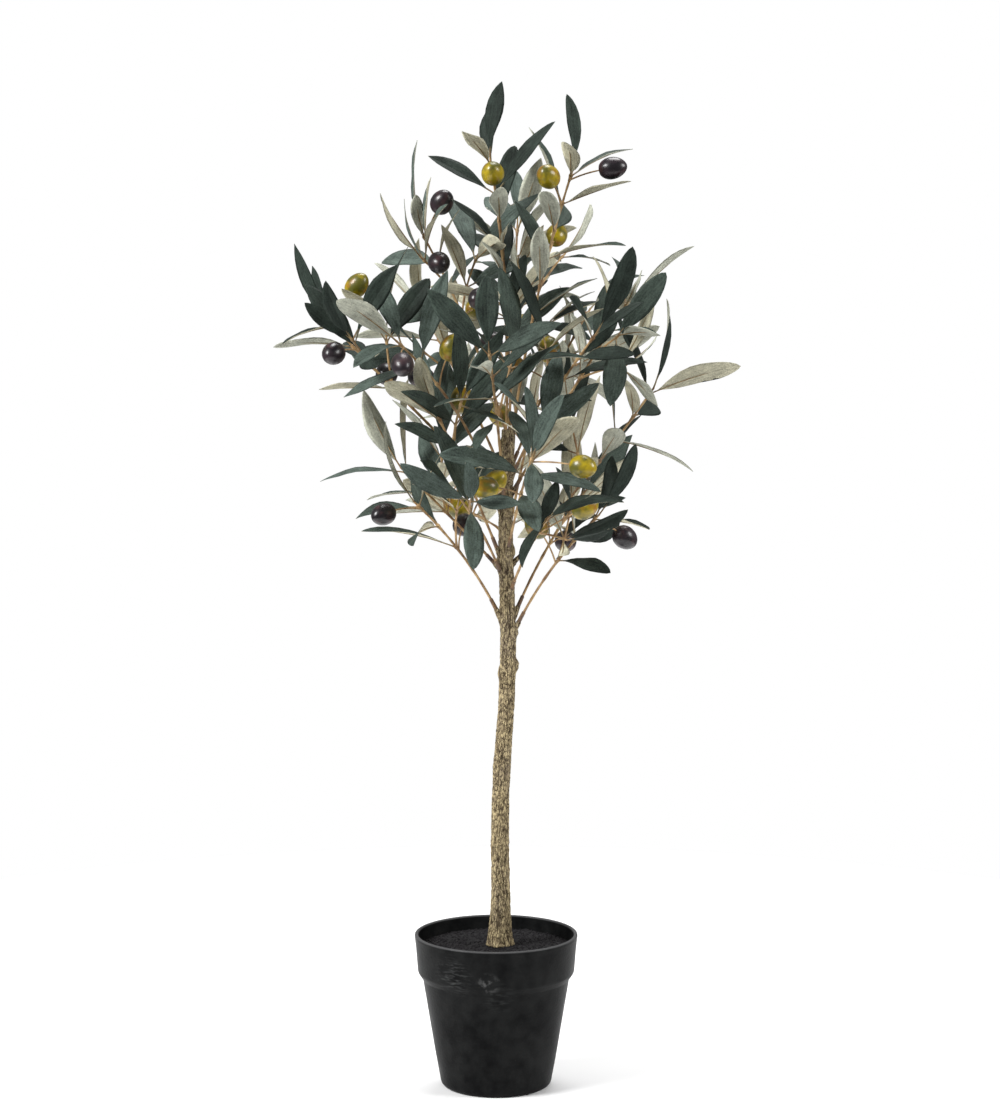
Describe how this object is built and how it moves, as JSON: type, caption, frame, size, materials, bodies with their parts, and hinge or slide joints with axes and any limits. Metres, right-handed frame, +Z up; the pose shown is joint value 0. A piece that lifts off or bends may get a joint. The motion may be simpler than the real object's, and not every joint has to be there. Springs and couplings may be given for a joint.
{
  "type": "artificial potted olive tree",
  "caption": "Artificial olive tree: slim bark trunk, thin stems, narrow two-tone leaves and olives, in a filled round plastic pot.",
  "frame": {"origin": "middle of the pot's flat underside", "axes": "+Z up, +X to the right and +Y away from the side that the picture shows"},
  "size_m": [0.4094, 0.3367, 0.8982],
  "materials": {
    "black_plastic": "satin black, lightly scuffed",
    "dark_filling": "rough, near black, cast filling with grit",
    "bark": "ridged tan bark with dark cracks",
    "stem_plastic": "golden brown plastic over wire",
    "leaf_fabric": "woven, dark grey-green above and pale grey-green below"
  },
  "bodies": {
    "root": {"pot": "black_plastic", "pot_filling": "dark_filling", "trunk": "bark", "bough_low_left": "stem_plastic", "foliage_low_left": "leaf_fabric", "bough_low_right": "stem_plastic", "foliage_low_right": "leaf_fabric", "bough_mid_left": "stem_plastic", "foliage_mid_left": "leaf_fabric", "bough_mid_left_steep": "stem_plastic", "foliage_mid_left_steep": "leaf_fabric", "bough_mid_right": "stem_plastic", "foliage_mid_right": "leaf_fabric", "bough_mid_front": "stem_plastic", "foliage_mid_front": "leaf_fabric", "bough_high_right": "stem_plastic", "foliage_high_right": "leaf_fabric", "bough_high_left": "stem_plastic", "foliage_high_left": "leaf_fabric", "bough_high_left_front": "stem_plastic", "foliage_high_left_front": "leaf_fabric", "bough_high_front": "stem_plastic", "foliage_high_front": "leaf_fabric", "bough_high_front_right": "stem_plastic", "foliage_high_front_right": "leaf_fabric", "bough_top_left": "stem_plastic", "foliage_top_left": "leaf_fabric", "bough_top_right": "stem_plastic", "foliage_top_right": "leaf_fabric", "bough_leader": "stem_plastic", "foliage_leader": "leaf_fabric", "bough_top_back": "stem_plastic", "foliage_top_back": "leaf_fabric", "bough_low_back": "stem_plastic", "foliage_low_back": "leaf_fabric", "bough_mid_back": "stem_plastic", "foliage_mid_back": "leaf_fabric", "bough_high_back_left": "stem_plastic", "foliage_high_back_left": "leaf_fabric", "bough_high_back_right": "stem_plastic", "foliage_high_back_right": "leaf_fabric", "bough_low_front": "stem_plastic", "foliage_low_front": "leaf_fabric", "bough_low_front_left": "stem_plastic", "foliage_low_front_left": "leaf_fabric", "bough_low_back_right": "stem_plastic", "foliage_low_back_right": "leaf_fabric"}
  },
  "joints": []
}
